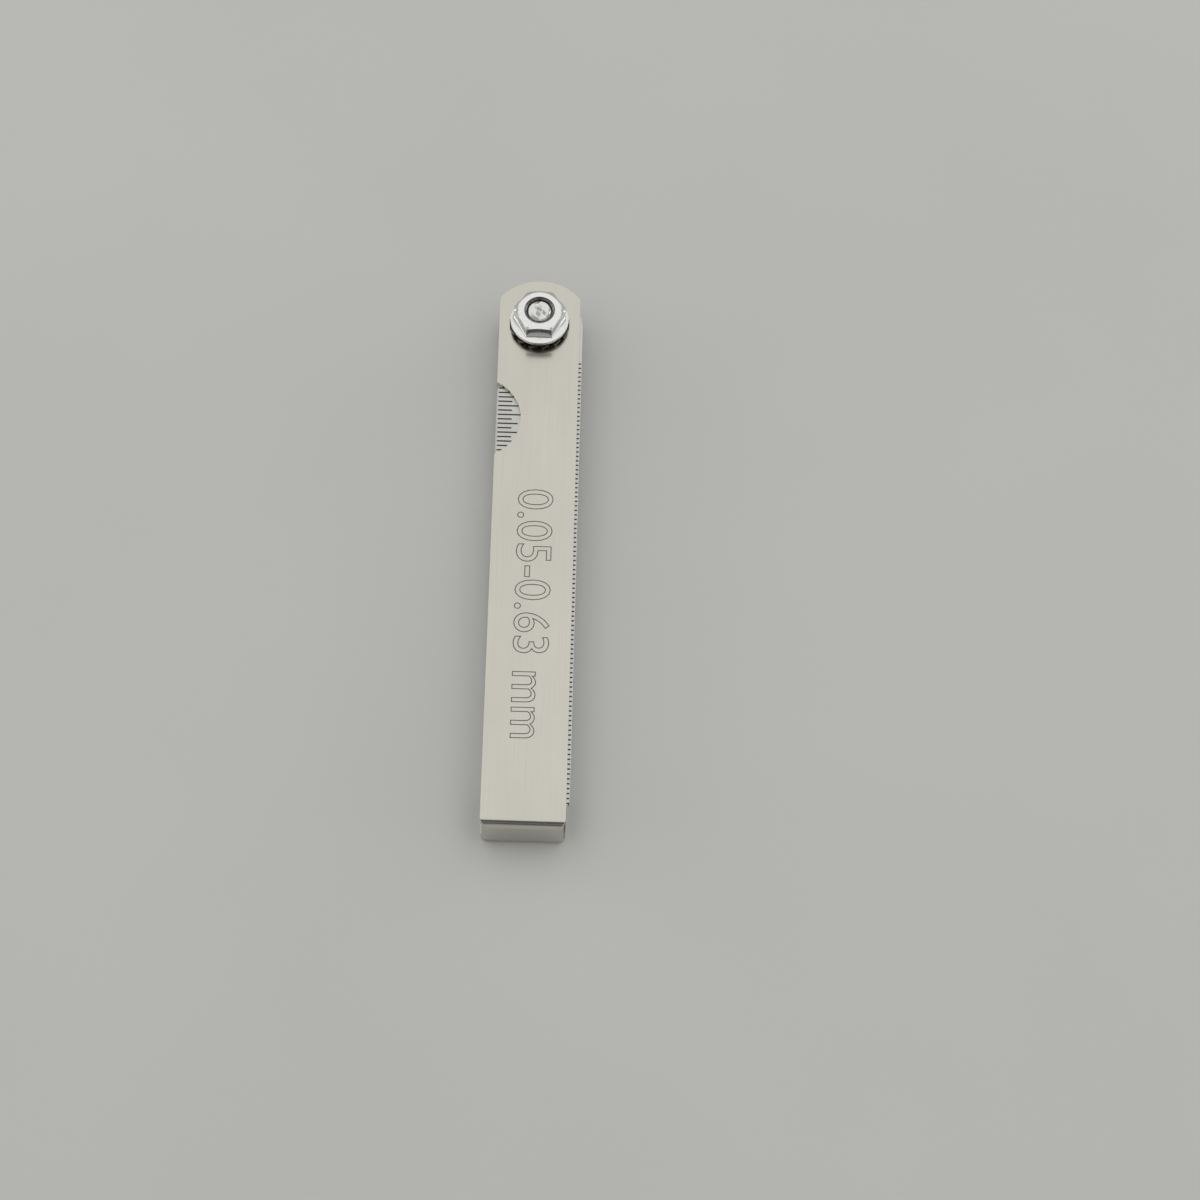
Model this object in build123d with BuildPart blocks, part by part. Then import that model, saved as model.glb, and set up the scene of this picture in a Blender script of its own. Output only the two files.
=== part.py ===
from build123d import *
from math import asin, cos, radians, sin, sqrt, tan
import os

# Feeler gauge: a strip of sheet folded over a stack of graded leaves, all clamped on one pivot.
#
# Millimetres. The origin is on the pivot axis, at the flat of the screw head. +Z runs up through the
# stack to the nut, and the holder reaches along -Y to its folded end.

# Leaves, from the bottom of the stack to the top
blade_thicknesses = [0.63, 0.55, 0.50, 0.45, 0.40, 0.35, 0.33, 0.30, 0.28, 0.20, 0.15, 0.13, 0.10, 0.08, 0.05]
blade_reach = 81.7  # pivot axis to the tip
blade_tip_radius = 10.0
blade_tip_corner_radius = 1.5
ruler_thickness = 0.5
ruler_reach = 82.9
ruler_width = 13.0
ruler_hole_offset = 0.35  # from the ruler leaf's middle towards its left edge
ruler_corner_radius = 1.5
leaf_gap = 0.03
largest_swing = 0.15  # degrees by which the blades stand out to the right of the holder

# Holder
sheet = 0.6
holder_width = 12.7
nose_radius = 8.0
nose_corner_radius = 1.0
fold_distance = 86.2  # pivot axis to the outside of the folded end
fold_radius = 1.3  # outside of each fold
fold_corner_radius = 1.5  # corners of the folded end, seen from above
notch_distance = 17.2  # pivot axis to the middle of the thumb notch
notch_radius = 7.25
notch_depth = 3.9

# Pivot screw
head_diameter = 8.0
head_height = 1.4
head_edge_radius = 0.5
shank_diameter = 4.0
running_clearance = 0.05  # on the radius, between the shank and the leaves
neck_side = 4.6  # square neck that stops the screw from turning in the holder
neck_clearance = 0.05
screw_end_chamfer = 0.15  # on the radius
screw_end_taper = 0.2  # along the axis
screw_end_rise = 0.15
screw_end_recess = 0.2  # from the top of the nut down to the screw's end

# Toothed lock washer
washer_bore_diameter = 4.3
washer_ring_diameter = 7.2
washer_diameter = 9.5
washer_thickness = 0.5
washer_teeth = 14
tooth_width = 1.3
tooth_twist = 38.0  # degrees
stack_clearance = 0.02  # between the top plate, the washer and the nut

# Flange nut
nut_across_flats = 7.0
nut_height = 3.2
nut_chamfer_diameter = 6.6
nut_chamfer_angle = 30.0
nut_bore_clearance = 0.03  # on the radius
nut_countersink_diameter = 4.8
flange_diameter = 9.2
flange_rim = 0.5
flange_top_diameter = 7.2
flange_height = 0.75

# Heights worked out from the stack
holder_base = head_height
stack_base = holder_base + sheet + leaf_gap
ruler_base = stack_base + sum(blade_thicknesses) + leaf_gap * len(blade_thicknesses)
top_plate_base = ruler_base + ruler_thickness + leaf_gap
holder_top = top_plate_base + sheet
tooth_half_height = (tooth_width * sin(radians(tooth_twist)) + washer_thickness * cos(radians(tooth_twist))) / 2
washer_middle = holder_top + stack_clearance + tooth_half_height
nut_base = washer_middle + tooth_half_height + stack_clearance
nut_top = nut_base + nut_height
screw_top = nut_top - screw_end_recess

half_width = holder_width / 2
leaf_hole_radius = shank_diameter / 2 + running_clearance

os.makedirs("parts", exist_ok=True)


def finish(part, name):
    part.label = name
    export_step(part, f"parts/{name}.step")


# The holder: a U of sheet, open along both sides and closed by the fold at its far end.
nose_shoulder = sqrt(nose_radius**2 - half_width**2)
with BuildPart() as holder:
    with BuildSketch(Plane.YZ):
        with Locations(((nose_radius - fold_distance) / 2, (holder_base + holder_top) / 2)):
            Rectangle(fold_distance + nose_radius, holder_top - holder_base)
        with Locations(((nose_radius - fold_distance) / 2 + sheet, (holder_base + holder_top) / 2)):
            Rectangle(fold_distance + nose_radius, holder_top - holder_base - 2 * sheet, mode=Mode.SUBTRACT)
        fillet(vertices().group_by(Axis.X)[0], fold_radius)
        fillet(vertices().group_by(Axis.X)[1], fold_radius - sheet)
    extrude(amount=half_width, both=True)

    # Outline of the folded strip, seen from above
    with BuildSketch(Plane.XY):
        with BuildLine():
            Polyline(
                (half_width, nose_shoulder),
                (half_width, -fold_distance),
                (-half_width, -fold_distance),
                (-half_width, nose_shoulder),
            )
            ThreePointArc((-half_width, nose_shoulder), (0, nose_radius), (half_width, nose_shoulder))
        make_face()
        fillet(vertices().group_by(Axis.Y)[0], fold_corner_radius)
        fillet(vertices().group_by(Axis.Y)[-1], nose_corner_radius)
        with Locations((-half_width + notch_depth - notch_radius, -notch_distance)):
            Circle(notch_radius, mode=Mode.SUBTRACT)
    extrude(amount=holder_top, mode=Mode.INTERSECT)

    # Square hole for the screw's neck in the bottom plate, round hole for its shank in the top plate
    with BuildSketch(Plane.XY.offset(holder_base)):
        Rectangle(neck_side + 2 * neck_clearance, neck_side + 2 * neck_clearance)
    extrude(amount=sheet, mode=Mode.SUBTRACT)
    with BuildSketch(Plane.XY.offset(top_plate_base)):
        Circle(leaf_hole_radius)
    extrude(amount=sheet, mode=Mode.SUBTRACT)
finish(holder.part, "holder")

# The pivot screw: flat round head, square neck, plain shank in place of its thread, domed end.
shank_radius = shank_diameter / 2
dome_edge = shank_radius - screw_end_chamfer
dome_radius = (dome_edge**2 + screw_end_rise**2) / (2 * screw_end_rise)
dome_half_turn = asin(dome_edge / dome_radius) / 2
dome_middle = (dome_radius * sin(dome_half_turn), screw_top - dome_radius * (1 - cos(dome_half_turn)))
with BuildPart() as pivot_screw:
    with BuildSketch():
        Circle(head_diameter / 2)
    extrude(amount=head_height)
    fillet(edges().group_by(Axis.Z)[0], head_edge_radius)
    with BuildSketch(Plane.XY.offset(head_height)):
        Rectangle(neck_side, neck_side)
    extrude(amount=sheet)
    with BuildSketch(Plane.XZ):
        with BuildLine():
            Polyline(
                (0, screw_top),
                (0, head_height),
                (shank_radius, head_height),
                (shank_radius, screw_top - screw_end_rise - screw_end_taper),
                (dome_edge, screw_top - screw_end_rise),
            )
            ThreePointArc((dome_edge, screw_top - screw_end_rise), dome_middle, (0, screw_top))
        make_face()
    revolve(axis=Axis.Z)
finish(pivot_screw.part, "pivot_screw")

# The graded blades: alike but for thickness, each a little out of line with the next.
tip_sagitta = blade_tip_radius - sqrt(blade_tip_radius**2 - half_width**2)
blade_base = stack_base
for place, thickness in enumerate(blade_thicknesses):
    swing = largest_swing / 2 * (1 + sin(2.4 * place))
    with BuildPart() as blade:
        with BuildSketch(Plane.XY.offset(blade_base).rotated((0, 0, swing))):
            with BuildLine():
                Line((half_width, 0), (half_width, tip_sagitta - blade_reach))
                ThreePointArc(
                    (half_width, tip_sagitta - blade_reach),
                    (0, -blade_reach),
                    (-half_width, tip_sagitta - blade_reach),
                )
                Line((-half_width, tip_sagitta - blade_reach), (-half_width, 0))
                ThreePointArc((-half_width, 0), (0, half_width), (half_width, 0))
            make_face()
            fillet(vertices().group_by(Axis.Y)[0], blade_tip_corner_radius)
            Circle(leaf_hole_radius, mode=Mode.SUBTRACT)
        extrude(amount=thickness)
    finish(blade.part, f"blade_0_{round(thickness * 100):02d}mm")
    blade_base += thickness + leaf_gap

# The ruler leaf: wider than the holder, so that its right edge can be pushed out with a thumb.
ruler_left = ruler_hole_offset - ruler_width / 2
ruler_right = ruler_hole_offset + ruler_width / 2
with BuildPart() as ruler_leaf:
    with BuildSketch(Plane.XY.offset(ruler_base)):
        with BuildLine():
            Polyline((ruler_right, 0), (ruler_right, -ruler_reach), (ruler_left, -ruler_reach), (ruler_left, 0))
            ThreePointArc((ruler_left, 0), (ruler_hole_offset, ruler_width / 2), (ruler_right, 0))
        make_face()
        fillet(vertices().group_by(Axis.Y)[0], ruler_corner_radius)
        Circle(leaf_hole_radius, mode=Mode.SUBTRACT)
    extrude(amount=ruler_thickness)
finish(ruler_leaf.part, "ruler_leaf")

# The lock washer: a flat ring with teeth twisted out of its plane.
tooth_inner_radius = washer_ring_diameter / 2 - 0.3  # each tooth starts inside the ring
tooth_outer_radius = washer_diameter / 2
tooth_length = tooth_outer_radius - tooth_inner_radius
with BuildPart() as lock_washer:
    with BuildSketch(Plane.XY.offset(washer_middle - washer_thickness / 2)):
        Circle(washer_ring_diameter / 2)
    extrude(amount=washer_thickness)
    with Locations(Plane.XY.offset(washer_middle)):
        with PolarLocations(tooth_inner_radius + tooth_length / 2, washer_teeth):
            Box(tooth_length, tooth_width, washer_thickness, rotation=(tooth_twist, 0, 0))
    with BuildSketch(Plane.XY.offset(washer_middle - tooth_half_height)):
        Circle(washer_bore_diameter / 2)
    extrude(amount=2 * tooth_half_height, mode=Mode.SUBTRACT)
    # The teeth's outer corners lie on one circle
    with BuildSketch(Plane.XY.offset(washer_middle - tooth_half_height)):
        Circle(washer_diameter / 2)
    extrude(amount=2 * tooth_half_height, mode=Mode.INTERSECT)
finish(lock_washer.part, "lock_washer")

# The flange nut: a hexagon with chamfered corners on a sloping round flange.
nut_corner_radius = nut_across_flats / 2 / cos(radians(30))
chamfer_drop = (nut_corner_radius - nut_chamfer_diameter / 2) * tan(radians(nut_chamfer_angle))
nut_bore_radius = shank_radius + nut_bore_clearance
countersink_depth = nut_countersink_diameter / 2 - nut_bore_radius
with BuildPart() as flange_nut:
    with BuildSketch(Plane.XY.offset(nut_base)):
        RegularPolygon(nut_corner_radius, 6)
    extrude(amount=nut_height)
    with BuildSketch(Plane.XZ):
        with BuildLine():
            Polyline(
                (0, nut_base),
                (nut_corner_radius, nut_base),
                (nut_corner_radius, nut_top - chamfer_drop),
                (nut_chamfer_diameter / 2, nut_top),
                (0, nut_top),
                close=True,
            )
        make_face()
    revolve(axis=Axis.Z, mode=Mode.INTERSECT)
    with BuildSketch(Plane.XZ):
        with BuildLine():
            Polyline(
                (0, nut_base),
                (flange_diameter / 2, nut_base),
                (flange_diameter / 2, nut_base + flange_rim),
                (flange_top_diameter / 2, nut_base + flange_height),
                (0, nut_base + flange_height),
                close=True,
            )
        make_face()
    revolve(axis=Axis.Z)
    with BuildSketch(Plane.XZ):
        with BuildLine():
            Polyline(
                (0, nut_base),
                (nut_bore_radius, nut_base),
                (nut_bore_radius, nut_top - countersink_depth),
                (nut_countersink_diameter / 2, nut_top),
                (0, nut_top),
                close=True,
            )
        make_face()
    revolve(axis=Axis.Z, mode=Mode.SUBTRACT)
finish(flange_nut.part, "flange_nut")
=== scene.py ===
import math

import bmesh
import bpy
from mathutils import Matrix, Vector


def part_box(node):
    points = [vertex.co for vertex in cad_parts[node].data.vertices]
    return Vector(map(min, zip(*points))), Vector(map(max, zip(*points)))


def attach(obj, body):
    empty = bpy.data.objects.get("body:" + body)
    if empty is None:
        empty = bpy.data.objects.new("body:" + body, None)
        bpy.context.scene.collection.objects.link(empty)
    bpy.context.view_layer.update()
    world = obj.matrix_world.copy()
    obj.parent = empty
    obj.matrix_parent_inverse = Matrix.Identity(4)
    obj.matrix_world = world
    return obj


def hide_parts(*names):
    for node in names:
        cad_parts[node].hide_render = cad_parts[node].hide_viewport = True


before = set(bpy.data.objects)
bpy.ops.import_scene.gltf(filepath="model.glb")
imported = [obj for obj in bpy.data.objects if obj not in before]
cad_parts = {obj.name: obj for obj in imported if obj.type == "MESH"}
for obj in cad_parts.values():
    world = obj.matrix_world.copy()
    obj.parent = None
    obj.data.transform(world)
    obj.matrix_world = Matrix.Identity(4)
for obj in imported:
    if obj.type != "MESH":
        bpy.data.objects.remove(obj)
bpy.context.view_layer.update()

# Meshes and the camera's place are worked out in millimetres in the CAD frame and turned into metres as they
# are made. The lamps and the floor's size are given in metres.
MM = 0.001


def node_box(name):
    low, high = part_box(name)
    return low / MM, high / MM


holder_low, holder_high = node_box("holder")
ruler_low, ruler_high = node_box("ruler_leaf")
nut_low, nut_high = node_box("flange_nut")
washer_low, washer_high = node_box("lock_washer")
screw_high = node_box("pivot_screw")[1]
blade_names = sorted(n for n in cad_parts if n.startswith("blade_"))

# Holder
sheet = 0.6
half_width = holder_high.x
nose_radius = holder_high.y
nose_corner = 1.0
fold_radius = 1.3
fold_corner = 1.5
notch_y = -17.2
notch_radius = 7.25
notch_depth = 3.9
pivot_hole_radius = 2.05
neck_hole_side = 4.7
neck_side = 4.6
head_edge_radius = 0.5
edge_rounding = 0.1

# Leaves
largest_swing = math.radians(0.15)
ruler_width = 13.0
ruler_offset = 0.35
ruler_reach = 82.9
ruler_corner = 1.5
blade_reach = 81.7
blade_tip_radius = 10.0
blade_tip_corner = 1.5
leaf_edge_rounding = 0.03
mark_thickness = 0.006
mark_sink = 0.002


# ---------------------------------------------------------------- mesh tools


def arc(centre, radius, start, end, steps):
    """Points on an arc, from one angle to another in degrees, both ends included."""
    turn = [math.radians(start + (end - start) * i / steps) for i in range(steps + 1)]
    return [(centre[0] + radius * math.cos(t), centre[1] + radius * math.sin(t)) for t in turn]


def fill(loops, cuts=()):
    """A flat mesh of an outline and its holes, cut across at each y in cuts."""
    flat = bmesh.new()
    for loop in loops:
        verts = [flat.verts.new((x, y, 0)) for x, y in loop]
        for i, vert in enumerate(verts):
            flat.edges.new((vert, verts[(i + 1) % len(verts)]))
    bmesh.ops.triangle_fill(flat, use_beauty=True, edges=flat.edges[:], normal=(0, 0, 1))
    for y in cuts:
        geometry = flat.verts[:] + flat.edges[:] + flat.faces[:]
        bmesh.ops.bisect_plane(flat, geom=geometry, dist=1e-5, plane_co=(0, y, 0), plane_no=(0, 1, 0))
    bmesh.ops.remove_doubles(flat, verts=flat.verts[:], dist=1e-4)
    bmesh.ops.recalc_face_normals(flat, faces=flat.faces[:])
    if sum(face.normal.z for face in flat.faces) < 0:
        bmesh.ops.reverse_faces(flat, faces=flat.faces[:])
    return flat


def thicken(flat, place, layers=1):
    """A closed sheet from a flat mesh: place(x, y, share) gives each point, from back (0) to front (1)."""
    solid = bmesh.new()
    shares = [i / layers for i in range(layers + 1)]
    edge_verts = {vert for vert in flat.verts if vert.is_boundary}
    columns = {}
    for vert in flat.verts:
        heights = shares if vert in edge_verts else (0, 1)
        columns[vert] = [solid.verts.new(place(vert.co.x, vert.co.y, share)) for share in heights]
    for face in flat.faces:
        solid.faces.new([columns[v][-1] for v in face.verts])
        solid.faces.new([columns[v][0] for v in reversed(face.verts)])
    for edge in flat.edges:
        if edge.is_boundary:
            loop = edge.link_loops[0]
            a, b = columns[loop.vert], columns[loop.link_loop_next.vert]
            for i in range(layers):
                solid.faces.new((a[i], b[i], b[i + 1], a[i + 1]))
    flat.free()
    return solid


def round_edges(solid, amount, least_angle=50, segments=3):
    """Rounds the edges that turn by more than the least angle, once coplanar faces are merged."""
    bmesh.ops.dissolve_limit(solid, angle_limit=0.004, verts=solid.verts[:], edges=solid.edges[:])
    shared = [e for e in solid.edges if len(e.link_faces) == 2]
    sharp = [e for e in shared if e.calc_face_angle() > math.radians(least_angle)]
    bmesh.ops.bevel(solid, geom=sharp, offset=amount, segments=segments, profile=0.5, affect="EDGES",
                    clamp_overlap=True)
    return solid


def lathe(profile, steps=128):
    """A closed ring turned about Z from a closed profile of (radius, height)."""
    solid = bmesh.new()
    rings = []
    for radius, height in profile:
        if radius < 1e-6:
            rings.append([solid.verts.new((0, 0, height))] * steps)
        else:
            turns = [2 * math.pi * i / steps for i in range(steps)]
            points = [(radius * math.cos(t), radius * math.sin(t), height) for t in turns]
            rings.append([solid.verts.new(point) for point in points])
    join_rings(solid, rings, closed=profile[0][0] > 1e-6)
    return solid


def join_rings(solid, rings, closed):
    """Faces between each ring of vertices and the next, and from the last to the first if they close."""
    steps = len(rings[0])
    pairs = list(zip(rings, rings[1:])) + ([(rings[-1], rings[0])] if closed else [])
    for inner, outer in pairs:
        for i in range(steps):
            j = (i + 1) % steps
            corners = []
            for vert in (inner[i], outer[i], outer[j], inner[j]):
                if vert not in corners:
                    corners.append(vert)
            if len(corners) > 2:
                solid.faces.new(corners)
    bmesh.ops.recalc_face_normals(solid, faces=solid.faces[:])


def place_piece(name, solid, material, body, node=None, smooth_angle=35):
    """Makes a piece that rides on a body from a mesh in millimetres. It stands for the CAD node, if named."""
    bmesh.ops.scale(solid, vec=(MM, MM, MM), verts=solid.verts[:])
    mesh = bpy.data.meshes.new(name)
    solid.to_mesh(mesh)
    solid.free()
    mesh.shade_smooth()
    mesh.set_sharp_from_angle(angle=math.radians(smooth_angle))
    mesh.materials.append(material)
    piece = bpy.data.objects.new(name, mesh)
    bpy.context.scene.collection.objects.link(piece)
    weighted = piece.modifiers.new("weighted_normals", "WEIGHTED_NORMAL")
    weighted.keep_sharp = True
    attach(piece, body)
    if node:
        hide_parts(node)
    return piece


digit_share = 0.73  # a digit's height as a share of the font's size


def lettering(name, words, height, thickness, matrix, outline=None):
    """Filled or outlined figures in millimetres, centred on the matrix's origin and on its XY plane."""
    curve = bpy.data.curves.new(name, "FONT")
    curve.body = words
    curve.size = height / digit_share
    curve.align_x = "CENTER"
    curve.align_y = "CENTER"
    curve.resolution_u = 4
    if outline:
        curve.fill_mode = "NONE"
        curve.bevel_depth = outline
        curve.bevel_resolution = 2
    else:
        curve.extrude = thickness / 2
    words_object = bpy.data.objects.new(name, curve)
    bpy.context.scene.collection.objects.link(words_object)
    bpy.context.view_layer.update()
    mesh = bpy.data.meshes.new_from_object(words_object)
    bpy.data.objects.remove(words_object)
    bpy.data.curves.remove(curve)
    solid = bmesh.new()
    solid.from_mesh(mesh)
    bpy.data.meshes.remove(mesh)
    bmesh.ops.transform(solid, matrix=matrix, verts=solid.verts[:])
    return solid


def join(solids):
    """One mesh from several."""
    whole = solids[0]
    for extra in solids[1:]:
        mesh = bpy.data.meshes.new("joined")
        extra.to_mesh(mesh)
        extra.free()
        whole.from_mesh(mesh)
        bpy.data.meshes.remove(mesh)
    return whole


def cut(solid, cutter):
    """Takes one mesh out of another."""
    objects = []
    for name, part in (("blank", solid), ("cutter", cutter)):
        mesh = bpy.data.meshes.new(name)
        part.to_mesh(mesh)
        part.free()
        objects.append(bpy.data.objects.new(name, mesh))
        bpy.context.scene.collection.objects.link(objects[-1])
    taken = objects[0].modifiers.new("cut", "BOOLEAN")
    taken.operation = "DIFFERENCE"
    taken.solver = "EXACT"
    taken.use_self = True
    taken.object = objects[1]
    graph = bpy.context.evaluated_depsgraph_get()
    mesh = bpy.data.meshes.new_from_object(objects[0].evaluated_get(graph))
    result = bmesh.new()
    result.from_mesh(mesh)
    bpy.data.meshes.remove(mesh)
    for thing in objects:
        bpy.data.objects.remove(thing)
    return result


# ---------------------------------------------------------------- materials


class Shader:
    """A material's nodes, made and linked by short calls."""

    def __init__(self, name):
        self.material = bpy.data.materials.new(name)
        self.material.use_nodes = True
        self.tree = self.material.node_tree
        self.bsdf = self.tree.nodes["Principled BSDF"]
        self.coords = self.tree.nodes.new("ShaderNodeTexCoord").outputs["Object"]

    def link(self, output, target):
        self.tree.links.new(output, target)

    def noise(self, scale, detail=4.0, roughness=0.55, offset=(0, 0, 0)):
        """Noise stretched along each axis: scale holds the number of features per millimetre."""
        mapping = self.tree.nodes.new("ShaderNodeMapping")
        mapping.inputs["Scale"].default_value = [s / MM for s in scale]
        mapping.inputs["Location"].default_value = offset
        self.link(self.coords, mapping.inputs["Vector"])
        noise = self.tree.nodes.new("ShaderNodeTexNoise")
        noise.inputs["Scale"].default_value = 1.0
        noise.inputs["Detail"].default_value = detail
        noise.inputs["Roughness"].default_value = roughness
        self.link(mapping.outputs["Vector"], noise.inputs["Vector"])
        return noise.outputs["Fac"]

    def span(self, value, low, high, start=0.3, end=0.7):
        """Spreads a noise's middle range over low to high."""
        node = self.tree.nodes.new("ShaderNodeMapRange")
        node.inputs["From Min"].default_value = start
        node.inputs["From Max"].default_value = end
        node.inputs["To Min"].default_value = low
        node.inputs["To Max"].default_value = high
        self.link(value, node.inputs["Value"])
        return node.outputs["Result"]

    def add(self, a, b):
        node = self.tree.nodes.new("ShaderNodeMath")
        node.operation = "ADD"
        self.link(a, node.inputs[0])
        self.link(b, node.inputs[1])
        return node.outputs["Value"]

    def blend(self, factor, first, second):
        """Two colours mixed by a factor; each is a colour or another node's output."""
        node = self.tree.nodes.new("ShaderNodeMix")
        node.data_type = "RGBA"
        self.link(factor, node.inputs["Factor"])
        for socket, colour in ((node.inputs[6], first), (node.inputs[7], second)):
            if isinstance(colour, tuple):
                socket.default_value = (*colour, 1)
            else:
                self.link(colour, socket)
        return node.outputs[2]

    def bump(self, height, distance, strength=1.0, below=None):
        node = self.tree.nodes.new("ShaderNodeBump")
        node.inputs["Distance"].default_value = distance * MM
        node.inputs["Strength"].default_value = strength
        self.link(height, node.inputs["Height"])
        if below:
            self.link(below, node.inputs["Normal"])
        return node.outputs["Normal"]

    def use(self, colour=None, roughness=None, normal=None, metallic=1.0):
        self.bsdf.inputs["Metallic"].default_value = metallic
        for name, output in (("Base Color", colour), ("Roughness", roughness), ("Normal", normal)):
            if output:
                self.link(output, self.bsdf.inputs[name])
        return self.material


def plated_sheet():
    """Satin nickel plate on rolled sheet: fine lengthwise grain, faint waves and handling marks."""
    shader = Shader("plated_sheet")
    grain = shader.noise((7.0, 0.06, 7.0), detail=5)
    patches = shader.noise((0.09, 0.05, 0.09), detail=3)
    smears = shader.noise((0.5, 0.16, 0.5), detail=6, roughness=0.7, offset=(3, 1, 2))
    waves = shader.noise((0.12, 0.03, 0.12), detail=1)
    tint = shader.blend(shader.span(patches, 0, 1), (0.63, 0.615, 0.545), (0.67, 0.66, 0.60))
    colour = shader.blend(shader.span(grain, 0, 0.35), tint, (0.58, 0.57, 0.51))
    roughness = shader.add(shader.span(grain, 0.16, 0.22), shader.span(smears, 0.0, 0.05))
    low = shader.bump(waves, 0.05, 0.6)
    normal = shader.bump(grain, 0.0035, 0.8, below=low)
    return shader.use(colour, roughness, normal)


def bright_plate(name, light, dark):
    """Bright zinc plate: nearly a mirror, with a faint orange-peel skin and dull specks."""
    shader = Shader(name)
    skin = shader.noise((2.2, 2.2, 2.2), detail=3)
    specks = shader.noise((5.0, 5.0, 5.0), detail=6, roughness=0.7)
    colour = shader.blend(shader.span(specks, 0, 0.7, 0.45, 0.75), light, dark)
    roughness = shader.span(specks, 0.07, 0.19)
    return shader.use(colour, roughness, shader.bump(skin, 0.012, 0.5))


def oily_thread():
    """The nut's mouth and first thread, darkened with painted shade for the recess, a little uneven."""
    shader = Shader("oily_thread")
    shade_unevenness = shader.noise((3.0, 3.0, 3.0), detail=5)
    colour = shader.blend(shader.span(shade_unevenness, 0, 1), (0.27, 0.265, 0.255), (0.12, 0.115, 0.11))
    return shader.use(colour, shader.span(shade_unevenness, 0.22, 0.4))


def washer_steel():
    """Dull zinc-plated spring steel, brown-black all over: partly its own brown stains in patches, partly
    painted shade from the flange above it.
    """
    shader = Shader("washer_steel")
    stain_and_shade = shader.noise((0.9, 0.9, 0.9), detail=6, roughness=0.65)
    pits = shader.noise((6.0, 6.0, 6.0), detail=4)
    # Both colours are dark as painted shade under the flange; the noise between them stands for brown stains.
    colour = shader.blend(shader.span(stain_and_shade, 0, 1), (0.20, 0.17, 0.125), (0.07, 0.055, 0.04))
    return shader.use(colour, shader.span(pits, 0.22, 0.45), shader.bump(pits, 0.01, 0.6))


def blade_steel():
    """Tempered strip, ground lengthwise and lightly oiled."""
    shader = Shader("blade_steel")
    grain = shader.noise((9.0, 0.05, 9.0), detail=5)
    oil = shader.noise((0.16, 0.07, 0.16), detail=5, roughness=0.6, offset=(5, 2, 0))
    tint = shader.blend(shader.span(oil, 0, 1), (0.60, 0.615, 0.63), (0.50, 0.495, 0.475))
    colour = shader.blend(shader.span(grain, 0, 0.3), tint, (0.42, 0.425, 0.43))
    roughness = shader.add(shader.span(grain, 0.16, 0.27), shader.span(oil, 0.0, 0.09))
    return shader.use(colour, roughness, shader.bump(grain, 0.003, 0.8))


def ruler_steel():
    """Satin ground rule steel."""
    shader = Shader("ruler_steel")
    grain = shader.noise((8.0, 0.08, 8.0), detail=5, offset=(1, 7, 0))
    patches = shader.noise((0.2, 0.1, 0.2), detail=4)
    tint = shader.blend(shader.span(patches, 0, 1), (0.68, 0.675, 0.65), (0.60, 0.60, 0.585))
    colour = shader.blend(shader.span(grain, 0, 0.3), tint, (0.50, 0.50, 0.49))
    return shader.use(colour, shader.span(grain, 0.26, 0.38), shader.bump(grain, 0.003, 0.8))


def etched_black():
    """Dark etch of the graduations and numbers, a little uneven."""
    shader = Shader("etched_black")
    unevenness = shader.noise((4.0, 4.0, 4.0), detail=5)
    colour = shader.blend(shader.span(unevenness, 0, 1), (0.022, 0.022, 0.023), (0.06, 0.058, 0.055))
    return shader.use(colour, shader.span(unevenness, 0.45, 0.7), metallic=0.0)


def engraved_line():
    """Dull floor of an engraved line in the holder's plate, its colour darkened with painted shade for the
    groove.
    """
    shader = Shader("engraved_line")
    unevenness = shader.noise((5.0, 5.0, 5.0), detail=5)
    colour = shader.blend(shader.span(unevenness, 0, 1), (0.16, 0.155, 0.145), (0.30, 0.295, 0.275))
    return shader.use(colour, shader.span(unevenness, 0.4, 0.6), metallic=0.6)


plate_finish = plated_sheet()
nut_finish = bright_plate("nut_plate", (0.88, 0.89, 0.89), (0.66, 0.66, 0.64))
screw_finish = bright_plate("zinc_plate", (0.80, 0.81, 0.80), (0.56, 0.565, 0.55))
mouth_shade_finish = oily_thread()
washer_finish = washer_steel()
blade_finish = blade_steel()
ruler_finish = ruler_steel()
etch_finish = etched_black()
engraved_shade_finish = engraved_line()


# ---------------------------------------------------------------- holder

# Words run along the gauge away from the pivot, with their tops to the right.
along_leaf = Matrix.Rotation(-math.pi / 2, 4, "Z")

bend_y = holder_low.y + fold_radius
middle_radius = fold_radius - sheet / 2
bend_length = math.pi / 2 * middle_radius
wall_length = holder_high.z - holder_low.z - 2 * fold_radius
first_bend_end = bend_y - bend_length
wall_end = first_bend_end - wall_length
second_bend_end = wall_end - bend_length
bend_steps = 10
groove_radius = 0.09
groove_rise = 0.03
words_y = -51.0
words_height = 5.6
words_reach = 30


def width_at(y):
    """Half the holder's width at a distance along it: its far corners are rounded as seen from above."""
    short = max(fold_corner - (y - holder_low.y), 0.0)
    return half_width - fold_corner + math.sqrt(max(fold_corner**2 - short**2, 0.0))


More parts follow.
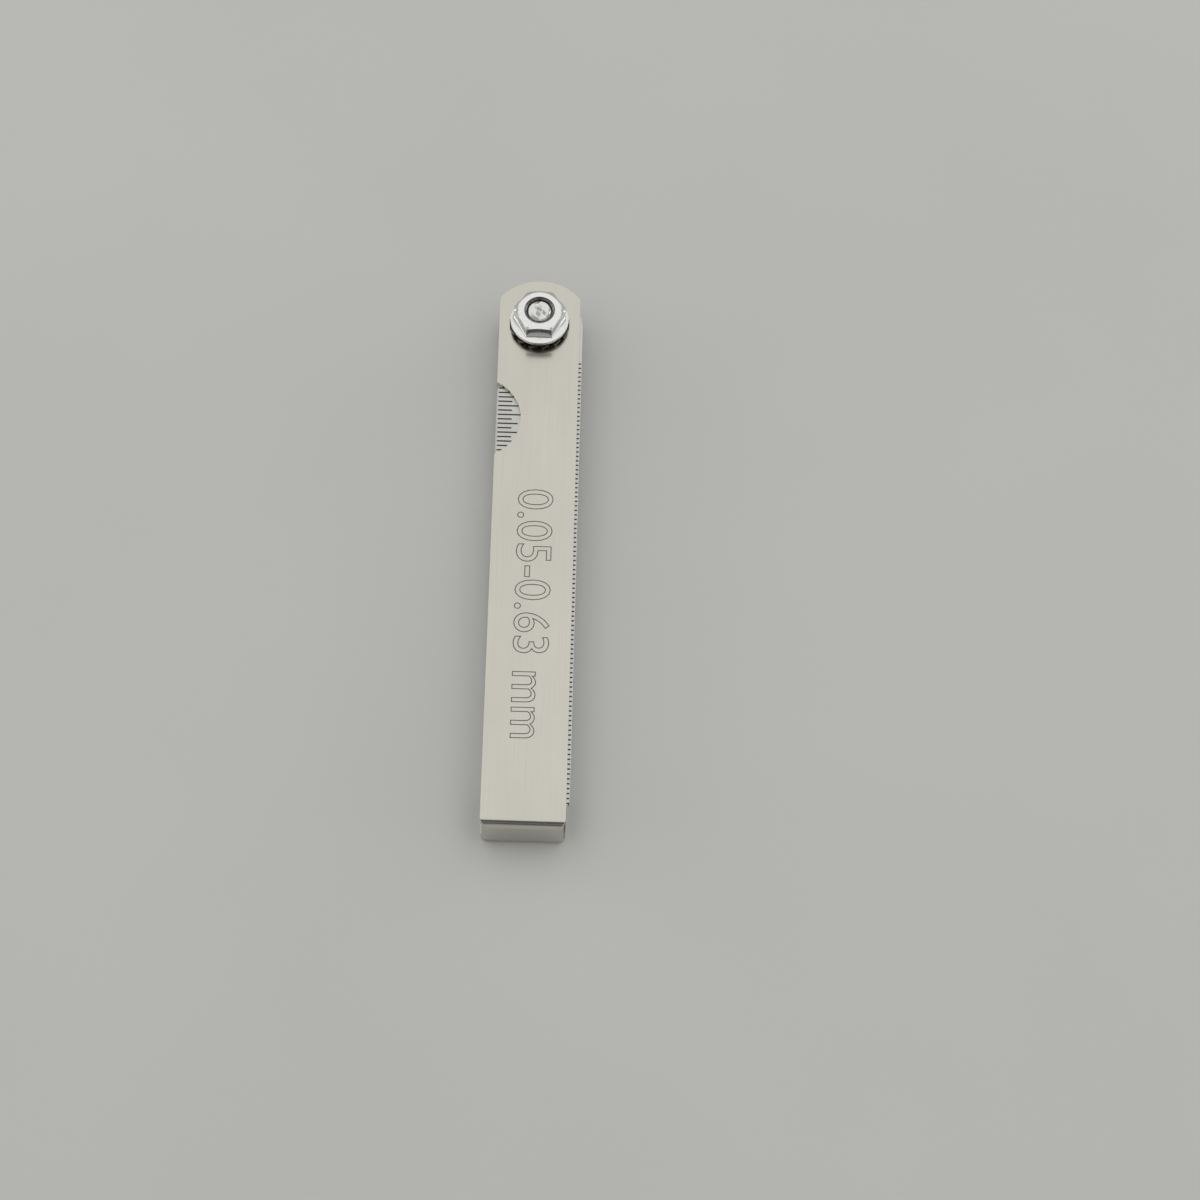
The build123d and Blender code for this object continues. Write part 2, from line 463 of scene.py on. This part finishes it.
def folded(x, s, share):
    """A point of the strip from its place on the blank: s is the top plate's y, run on past the bends."""
    if s >= bend_y:
        middle, outward = Vector((x, s, holder_high.z - sheet / 2)), Vector((0, 0, 1))
    elif s >= first_bend_end:
        turn = (bend_y - s) / middle_radius
        outward = Vector((0, -math.sin(turn), math.cos(turn)))
        middle = Vector((x, bend_y, holder_high.z - fold_radius)) + outward * middle_radius
    elif s >= wall_end:
        outward = Vector((0, -1, 0))
        middle = Vector((x, holder_low.y + sheet / 2, holder_high.z - fold_radius - (first_bend_end - s)))
    elif s >= second_bend_end:
        turn = (wall_end - s) / middle_radius
        outward = Vector((0, -math.cos(turn), -math.sin(turn)))
        middle = Vector((x, bend_y, holder_low.z + fold_radius)) + outward * middle_radius
    else:
        middle = Vector((x, bend_y + second_bend_end - s, holder_low.z + sheet / 2))
        outward = Vector((0, 0, -1))
    point = middle + outward * (sheet * (share - 0.5))
    point.x *= width_at(point.y) / half_width
    return point


def on_bottom(points):
    """The same outline on the bottom plate: its place on the blank, mirrored beyond the bends."""
    return [(x, bend_y + second_bend_end - y) for x, y in points]


def fold_rows():
    """Distances along the blank at which it is cut across, from the first bend to the end of the second."""
    first = [bend_y - bend_length * i / bend_steps for i in range(bend_steps + 1)]
    return first + [wall_end - bend_length * i / bend_steps for i in range(bend_steps + 1)]


def nose_outline():
    """The rounded nose, from the right side over the top to the left side."""
    inset = half_width - nose_corner
    corner_y = math.sqrt((nose_radius - nose_corner) ** 2 - inset**2)
    tangent = math.degrees(math.atan2(corner_y, inset))
    right = arc((inset, corner_y), nose_corner, 0, tangent, 6)
    top = arc((0, 0), nose_radius, tangent, 180 - tangent, 40)
    left = arc((-inset, corner_y), nose_corner, 180 - tangent, 180, 6)
    return right[:-1] + top + left[1:]


def notch_outline():
    """The thumb notch in the left edge, from its end by the nose to its far end."""
    centre_x = -half_width + notch_depth - notch_radius
    turn = math.degrees(math.acos((notch_radius - notch_depth) / notch_radius))
    return arc((centre_x, notch_y), notch_radius, turn, -turn, 36)


def make_holder():
    rows = fold_rows()
    top_half = nose_outline() + notch_outline() + [(-half_width, s) for s in rows]
    bottom_half = on_bottom(notch_outline()[::-1]) + on_bottom(nose_outline()[::-1])
    outline = top_half + bottom_half + [(half_width, s) for s in reversed(rows)]
    pivot_hole = arc((0, 0), pivot_hole_radius, 0, 360, 64)[:-1]
    half_neck = neck_hole_side / 2
    neck_hole = on_bottom([(-half_neck, -half_neck), (half_neck, -half_neck), (half_neck, half_neck),
                           (-half_neck, half_neck)])
    blank = fill([outline, pivot_hole, neck_hole], rows)
    solid = round_edges(thicken(blank, folded, layers=4), edge_rounding)
    place = Matrix.Translation((0, words_y, holder_high.z + groove_rise)) @ along_leaf
    solid = cut(solid, lettering("range", "0.05-0.63 mm", words_height, 0, place, outline=groove_radius))
    # Groove faces take the darker finish: painted shade in the engraved lines, on a dull floor.
    for face in solid.faces:
        centre = face.calc_center_median()
        depth = holder_high.z - centre.z
        among_words = abs(centre.x) < words_height and abs(centre.y - words_y) < words_reach
        if among_words and 0.001 < depth < groove_radius:
            face.material_index = 1
    piece = place_piece("holder_sheet", solid, plate_finish, "holder", "holder")
    piece.data.materials.append(engraved_shade_finish)


make_holder()


# ---------------------------------------------------------------- nut, screw and washer

nut_corner_rounding = 0.12
nut_flat_radius = 3.5
nut_flat_steps = 12
nut_top_radius = 3.3
nut_bore_radius = 2.03
countersink_radius = 2.4
flange_radius = nut_high.x
flange_rim = 0.5
flange_slope = 0.25
flange_rim_rounding = 0.08
flange_shoulder_rounding = 0.1
flange_fillet = 0.12
base_chamfer = 0.3
chamfer_slope = math.tan(math.radians(30))


def hexagon():
    """A hexagon's outline with rounded corners, two of them on the X axis."""
    inner = (nut_flat_radius - nut_corner_rounding) / math.cos(math.radians(30))
    corners = []
    for turn in range(0, 360, 60):
        centre = (inner * math.cos(math.radians(turn)), inner * math.sin(math.radians(turn)))
        corners.append(arc(centre, nut_corner_rounding, turn - 30, turn + 30, 4))
    points = []
    for corner, following in zip(corners, corners[1:] + corners[:1]):
        points += corner
        (x, y), (next_x, next_y) = corner[-1], following[0]
        for i in range(1, nut_flat_steps):
            points.append((x + (next_x - x) * i / nut_flat_steps, y + (next_y - y) * i / nut_flat_steps))
    return points


def nut_column(side):
    """The nut's section (radius, height) at a place where its side stands at that radius."""
    base, top = nut_low.z, nut_high.z
    rim_centre = (flange_radius - flange_rim_rounding, base + flange_rim_rounding)
    shoulder_centre = (flange_radius - flange_shoulder_rounding, base + flange_rim - 0.07)
    shoulder_turn = math.degrees(math.atan(1 / flange_slope))
    cone_end = base + flange_rim + (flange_radius - side) * flange_slope
    corner = top - max(side - nut_top_radius, 0.0) * chamfer_slope
    # Underside, rim and sloping top of the flange
    section = [(nut_bore_radius, base + base_chamfer), (nut_bore_radius + base_chamfer, base)]
    section += arc(rim_centre, flange_rim_rounding, -90, 0, 3)
    section += arc(shoulder_centre, flange_shoulder_rounding, 0, shoulder_turn, 4)
    section += [(side + flange_fillet, cone_end - flange_fillet * flange_slope)]
    section += [(side + 0.03, cone_end + 0.03), (side, cone_end + 0.14)]
    # Side, with soft edges to its chamfer and to the flat top
    section += [(side, corner - 0.09), (side - 0.012, corner - 0.03), (side - 0.05, corner + 0.02)]
    section += [(nut_top_radius - 0.07, top - 0.012), (nut_top_radius - 0.15, top)]
    # Countersunk mouth and bore
    section += [(countersink_radius + 0.06, top), (countersink_radius + 0.015, top - 0.02)]
    section += [(countersink_radius - 0.04, top - 0.06), (nut_bore_radius, top - 0.38)]
    section += [(nut_bore_radius, base + 1.0)]
    return section


def make_nut():
    """A hexagon with chamfered corners on a sloping flange; the faces in its mouth take a painted-shade
    finish.
    """
    solid = bmesh.new()
    columns = []
    for x, y in hexagon():
        distance = math.hypot(x, y)
        section = nut_column(distance)
        columns.append([solid.verts.new((r * x / distance, r * y / distance, z)) for r, z in section])
    rings = [list(ring) for ring in zip(*columns)]
    join_rings(solid, rings, closed=True)
    # Faces inside the countersink, below the top, get the mouth's painted shade.
    for face in solid.faces:
        centre = face.calc_center_median()
        if math.hypot(centre.x, centre.y) < countersink_radius and centre.z < nut_high.z - 0.015:
            face.material_index = 1
    piece = place_piece("nut_body", solid, nut_finish, "flange_nut", "flange_nut",
                        smooth_angle=28)
    piece.data.materials.append(mouth_shade_finish)


screw_end_radius = 1.75
screw_end_rise = 0.15
screw_end_taper = 0.3
end_rings = 16
shank_radius = 2.0
lathe_steps = 96
neck_edge_rounding = 0.06
# Each hammer fold: direction in degrees, width, depth, and shift as a share of the width
peen_marks = ((170, 1.9, 0.55, 0.2), (50, 1.5, 0.3, 0.1))


def peened(x, y):
    """How far the screw's domed and hammered end lies below its highest point."""
    share = min(math.hypot(x, y) / screw_end_radius, 1.0)
    depth = 0.0
    for degrees, width, full_depth, shift in peen_marks:
        turn = math.radians(degrees)
        place = (x * math.cos(turn) + y * math.sin(turn)) / width + shift
        depth += full_depth * abs(place - round(place))
    return depth * (1 - share**6) + screw_end_rise * share**2


def make_screw():
    """Head, shank and peened end turned as one profile, with a block for the square neck."""
    head_radius = screw_high.x
    head_height = holder_low.z
    end = screw_high.z
    edge = end - screw_end_rise
    taper_start = edge - screw_end_taper
    profile = [(0, 0)]
    profile += arc((head_radius - head_edge_radius, head_edge_radius), head_edge_radius, -90, 0, 16)
    profile += [(head_radius, head_height - 0.08), (head_radius - 0.08, head_height)]
    profile += [(shank_radius, head_height)]
    profile += [(shank_radius, taper_start - 0.03), (shank_radius - 0.02, taper_start + 0.02)]
    profile += [(screw_end_radius + 0.03, edge - 0.03), (screw_end_radius - 0.03, edge)]
    radii = [(screw_end_radius - 0.03) * (1 - i / end_rings) for i in range(1, end_rings)]
    profile += [(radius, end) for radius in radii] + [(0, end)]
    solid = lathe(profile, lathe_steps)
    for vert in solid.verts:
        if vert.co.z > end - 0.001:
            vert.co.z -= peened(vert.co.x, vert.co.y)
    neck = bmesh.new()
    neck_place = Matrix.Translation((0, 0, head_height + sheet / 2))
    neck_size = Matrix.Diagonal((neck_side, neck_side, sheet, 1))
    bmesh.ops.create_cube(neck, size=1.0, matrix=neck_place @ neck_size)
    bmesh.ops.bevel(neck, geom=neck.edges[:], offset=neck_edge_rounding, segments=2, profile=0.5,
                    affect="EDGES")
    return place_piece("screw_body", join([solid, neck]), screw_finish, "holder", "pivot_screw",
                       smooth_angle=40)


washer_teeth = 14
tooth_width = 1.3
tooth_twist = math.radians(38)
washer_thickness = 0.5
washer_bore = 2.15
washer_ring = 3.6
washer_rows = (washer_bore, 2.7, 3.2, washer_ring)
tooth_inset = 0.05  # from the CAD outline to the tips of the teeth
tooth_rows = (0.3, 0.65, 1.0)  # shares of a tooth's length
twist_end = 0.65  # share of a tooth's length at which it is fully twisted


def make_washer():
    """A flat ring whose teeth twist out of its plane."""
    flat = bmesh.new()
    outer = washer_high.x - tooth_inset
    middle = (washer_low.z + washer_high.z) / 2
    across = [tooth_width * (i / 4 - 0.5) for i in range(5)]
    pitch = 2 * math.pi / washer_teeth
    twisted = {}
    columns, roots = [], []
    for tooth in range(washer_teeth):
        turns = [pitch * tooth + math.asin(t / washer_ring) for t in across]
        gap = (turns[0] + pitch - turns[-1]) / 3
        turns += [turns[-1] + gap, turns[-1] + 2 * gap]
        for i, turn in enumerate(turns):
            points = [(r * math.cos(turn), r * math.sin(turn), 0) for r in washer_rows]
            columns.append([flat.verts.new(point) for point in points])
            if i < len(across):
                roots.append(columns[-1][-1])
    for i, column in enumerate(columns):
        following = columns[(i + 1) % len(columns)]
        for j in range(len(washer_rows) - 1):
            flat.faces.new((column[j], column[j + 1], following[j + 1], following[j]))
    for tooth in range(washer_teeth):
        turn = pitch * tooth
        along = Vector((math.cos(turn), math.sin(turn), 0))
        sideways = Vector((-math.sin(turn), math.cos(turn), 0))
        last = roots[tooth * len(across):(tooth + 1) * len(across)]
        for share in tooth_rows:
            radius = washer_ring + (outer - washer_ring) * share
            row = []
            for t in across:
                point = along * math.sqrt(radius**2 - t**2) + sideways * t
                row.append(flat.verts.new(point))
                twist = tooth_twist * min(1, share / twist_end)
                axis = Vector((0, 0, 1))
                across_tooth = sideways * math.cos(twist) + axis * math.sin(twist)
                lifted = along * point.dot(along) + across_tooth * t
                outward = axis * math.cos(twist) - sideways * math.sin(twist)
                twisted[(round(point.x, 5), round(point.y, 5))] = (lifted, outward)
            for j in range(len(across) - 1):
                flat.faces.new((last[j], row[j], row[j + 1], last[j + 1]))
            last = row
    bmesh.ops.recalc_face_normals(flat, faces=flat.faces[:])
    if flat.faces[:][0].normal.z < 0:
        bmesh.ops.reverse_faces(flat, faces=flat.faces[:])

    def twist_out(x, y, share):
        point, outward = twisted.get((round(x, 5), round(y, 5)), (Vector((x, y, 0)), Vector((0, 0, 1))))
        return point + outward * (washer_thickness * (share - 0.5)) + Vector((0, 0, middle))

    solid = thicken(flat, twist_out)
    sharp = [e for e in solid.edges if e.calc_face_angle() > math.radians(60)]
    bmesh.ops.bevel(solid, geom=sharp, offset=0.035, segments=2, profile=0.5, affect="EDGES")
    return place_piece("washer_ring", solid, washer_finish, "lock_washer", "lock_washer")


make_nut()
make_screw()
make_washer()


# ---------------------------------------------------------------- leaves


def lying(low, high, swing):
    """Places a flat leaf between two heights, swung about the pivot."""
    turn = Matrix.Rotation(swing, 3, "Z")

    def place(x, y, share):
        return turn @ Vector((x, y, low + (high - low) * share))

    return place


def make_ruler():
    """The square-ended leaf that carries the rule, wider than the blades."""
    left, right = ruler_offset - ruler_width / 2, ruler_offset + ruler_width / 2
    outline = arc((ruler_offset, 0), ruler_width / 2, 0, 180, 48)
    outline += arc((left + ruler_corner, ruler_corner - ruler_reach), ruler_corner, 180, 270, 10)
    outline += arc((right - ruler_corner, ruler_corner - ruler_reach), ruler_corner, 270, 360, 10)
    hole = arc((0, 0), pivot_hole_radius, 0, 360, 48)[:-1]
    solid = thicken(fill([outline, hole]), lying(ruler_low.z, ruler_high.z, 0.0))
    round_edges(solid, leaf_edge_rounding, segments=2)
    return place_piece("ruler_blank", solid, ruler_finish, "ruler_leaf", "ruler_leaf")


make_ruler()

# One inch of the rule is 32 divisions, counted from the square tip towards the pivot.
inch_length = 25.4
division = inch_length / 32
divisions = 96
mark_width = 0.25
mark_inset = 0.1
# A mark's length, by the largest of these steps that its count is a multiple of
mark_lengths = ((32, 6.3), (16, 5.5), (8, 4.65), (4, 3.95), (2, 3.15), (1, 2.2))
mark_height = mark_thickness / 2 - mark_sink
number_height = 1.9
number_from_mark = 1.5
number_from_middle = 1.6
size_y = -70.5
size_height = 2.6
metric_x = 1.7
inches_x = -2.4


def mark_length(count):
    return next(length for step, length in mark_lengths if count % step == 0)


def make_marks(name, low, high):
    """Graduations along both edges of the ruler leaf, as thin dark inlays."""
    solid = bmesh.new()
    left = ruler_offset - ruler_width / 2 + mark_inset
    right = ruler_offset + ruler_width / 2 - mark_inset
    for count in range(1, divisions + 1):
        y = count * division - ruler_reach
        for start, inward in ((left, 1), (right, -1)):
            length = mark_length(count)
            centre = Vector((start + inward * length / 2, y, (low + high) / 2))
            size = Matrix.Diagonal((length, mark_width, high - low, 1))
            bmesh.ops.create_cube(solid, size=1.0, matrix=Matrix.Translation(centre) @ size)
    return place_piece(name, solid, etch_finish, "ruler_leaf")


make_marks("ruler_marks_top", ruler_high.z - mark_sink, ruler_high.z + mark_thickness - mark_sink)
make_marks("ruler_marks_under", ruler_low.z - mark_thickness + mark_sink, ruler_low.z + mark_sink)


def make_inch_numbers():
    """The inch numbers beside the long marks."""
    solids = []
    for inch in (1, 2, 3):
        y = inch * inch_length - ruler_reach - number_from_mark
        for x in (ruler_offset - number_from_middle, ruler_offset + number_from_middle):
            place = Matrix.Translation((x, y, ruler_high.z + mark_height)) @ along_leaf
            solids.append(lettering(f"inch_{inch}", str(inch), number_height, mark_thickness, place))
    return place_piece("ruler_numbers", join(solids), etch_finish, "ruler_leaf")


make_inch_numbers()


def blade_outline():
    """Half-round heel, straight sides, and a slightly rounded tip with rounded corners."""
    tip_centre = (0, blade_tip_radius - blade_reach)
    inner = blade_tip_radius - blade_tip_corner
    inset = half_width - blade_tip_corner
    corner_y = tip_centre[1] - math.sqrt(inner**2 - inset**2)
    turn = math.degrees(math.acos(inset / inner))
    outline = arc((0, 0), half_width, 0, 180, 48)
    outline += arc((-inset, corner_y), blade_tip_corner, 180, 180 + turn, 8)
    outline += arc(tip_centre, blade_tip_radius, 180 + turn, 360 - turn, 24)[1:-1]
    outline += arc((inset, corner_y), blade_tip_corner, 360 - turn, 360, 8)
    return outline


def make_blade(node, place):
    """A graded blade, with its thickness etched near the tip in millimetres and in inches."""
    low, high = node_box(node)
    thickness = int(node.split("_")[2].removesuffix("mm")) / 100
    swing = largest_swing / 2 * (1 + math.sin(2.4 * place))
    turn = Matrix.Rotation(swing, 4, "Z")
    hole = arc((0, 0), pivot_hole_radius, 0, 360, 48)[:-1]
    solid = thicken(fill([blade_outline(), hole]), lying(low.z, high.z, swing))
    round_edges(solid, min(leaf_edge_rounding, thickness / 4), segments=2)
    place_piece(f"{node}_leaf", solid, blade_finish, node, node)
    in_inches = f"{thickness / inch_length:.3f}".lstrip("0")
    metric = lettering("metric", f"{thickness:.2f} mm", size_height, mark_thickness,
                       turn @ Matrix.Translation((metric_x, size_y, high.z + mark_height)) @ along_leaf)
    inches = lettering("inches", f"{in_inches} in", size_height, mark_thickness,
                       turn @ Matrix.Translation((inches_x, size_y, high.z + mark_height)) @ along_leaf)
    place_piece(f"{node}_size", join([metric, inches]), etch_finish, node)


blade_names_by_height = sorted(blade_names, key=lambda n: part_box(n)[0].z)
for blade_place, blade_node in enumerate(blade_names_by_height):
    make_blade(blade_node, blade_place)


# ---------------------------------------------------------------- stage, light and camera

head_flat_radius = screw_high.x - head_edge_radius
lean = math.atan2(holder_low.z, -bend_y - head_flat_radius)


def make_floor():
    """A pale floor that touches the screw head and the folded end, as the gauge leans when it lies down."""
    half_size = 1.6
    floor_gap = 0.02
    mesh = bpy.data.meshes.new("floor")
    corners = [(-half_size, -half_size, 0), (half_size, -half_size, 0), (half_size, half_size, 0),
               (-half_size, half_size, 0)]
    mesh.from_pydata(corners, [], [(0, 1, 2, 3)])
    floor = bpy.data.objects.new("floor", mesh)
    bpy.context.scene.collection.objects.link(floor)
    floor.location = (0, -head_flat_radius * MM, -floor_gap * MM)
    floor.rotation_euler = (-lean, 0, 0)
    shader = Shader("floor_paper")
    tone = shader.noise((0.01, 0.01, 0.01), detail=3)
    colour = shader.blend(shader.span(tone, 0, 1), (0.73, 0.73, 0.72), (0.76, 0.76, 0.75))
    shader.bsdf.inputs["Roughness"].default_value = 0.8
    mesh.materials.append(shader.use(colour, metallic=0.0))


def area_light(name, place, aim, size, power, colour):
    """A rectangular softbox, placed in metres and turned to its aim."""
    light = bpy.data.lights.new(name, "AREA")
    light.shape = "RECTANGLE"
    light.size, light.size_y = size
    light.energy = power
    light.color = colour
    lamp = bpy.data.objects.new(name, light)
    bpy.context.scene.collection.objects.link(lamp)
    lamp.location = place
    lamp.rotation_euler = (Vector(aim) - Vector(place)).to_track_quat("-Z", "Y").to_euler()


# Each dark patch of the room, in degrees: elevation, radius of its dark middle, radius of its soft edge
dark_patches = ((59, 11, 17), (31, 8, 13))


def make_world():
    """An even studio, a little brighter overhead, with two dark patches on the folded end's side."""
    world = bpy.data.worlds.new("studio")
    world.use_nodes = True
    bpy.context.scene.world = world
    tree = world.node_tree
    direction = tree.nodes.new("ShaderNodeTexCoord").outputs["Generated"]

    def towards(aim, start, end):
        """0 to 1 as a direction turns towards the aim, between two cosines."""
        dot = tree.nodes.new("ShaderNodeVectorMath")
        dot.operation = "DOT_PRODUCT"
        dot.inputs[1].default_value = aim
        tree.links.new(direction, dot.inputs[0])
        spread = tree.nodes.new("ShaderNodeMapRange")
        spread.interpolation_type = "SMOOTHSTEP"
        spread.inputs["From Min"].default_value = start
        spread.inputs["From Max"].default_value = end
        tree.links.new(dot.outputs["Value"], spread.inputs["Value"])
        return spread.outputs["Result"]

    def mix(factor, first, second):
        node = tree.nodes.new("ShaderNodeMix")
        node.data_type = "RGBA"
        tree.links.new(factor, node.inputs["Factor"])
        for socket, colour in ((node.inputs[6], first), (node.inputs[7], second)):
            if isinstance(colour, tuple):
                socket.default_value = (*colour, 1)
            else:
                tree.links.new(colour, socket)
        return node.outputs[2]

    room = mix(towards((0, 0, 1), -0.1, 1.0), (0.36, 0.36, 0.36), (0.48, 0.48, 0.47))
    for elevation, full, edge in dark_patches:
        aim = (0, -math.cos(math.radians(elevation)), math.sin(math.radians(elevation)))
        patch = towards(aim, math.cos(math.radians(edge)), math.cos(math.radians(full)))
        room = mix(patch, room, (0.05, 0.05, 0.055))
    tree.links.new(room, tree.nodes["Background"].inputs["Color"])


def make_camera():
    """Looks down on the gauge from its folded end, from the height and side of a hand-held photograph."""
    elevation = math.radians(63.11)
    azimuth = math.radians(-0.95)
    roll = math.radians(2.43)
    distance = 525.8
    aim = Vector((10.60, -48.59, holder_high.z))
    back = Vector((math.sin(azimuth) * math.cos(elevation), -math.cos(azimuth) * math.cos(elevation),
                   math.sin(elevation)))
    data = bpy.data.cameras.new("camera")
    data.lens = 103.8
    data.sensor_width = 36.0
    data.clip_start = 0.01
    camera = bpy.data.objects.new("camera", data)
    bpy.context.scene.collection.objects.link(camera)
    camera.location = (aim + back * distance) * MM
    facing = back.to_track_quat("Z", "Y").to_matrix()
    camera.rotation_euler = (facing @ Matrix.Rotation(roll, 3, "Z")).to_euler()
    bpy.context.scene.camera = camera


make_floor()
make_world()
middle_of_gauge = (0, (holder_low.y + holder_high.y) / 2 * MM, 0)
area_light("overhead", (0.0, 0.20, 0.68), middle_of_gauge, (1.1, 1.0), 1.4, (1.0, 0.985, 0.955))
area_light("strip_left", (-0.72, 0.12, 0.12), middle_of_gauge, (0.9, 0.26), 1.0, (1.0, 0.98, 0.95))
area_light("strip_right", (0.72, 0.12, 0.12), middle_of_gauge, (0.9, 0.26), 0.9, (0.97, 0.985, 1.0))
make_camera()
bpy.context.scene.view_settings.view_transform = "Standard"
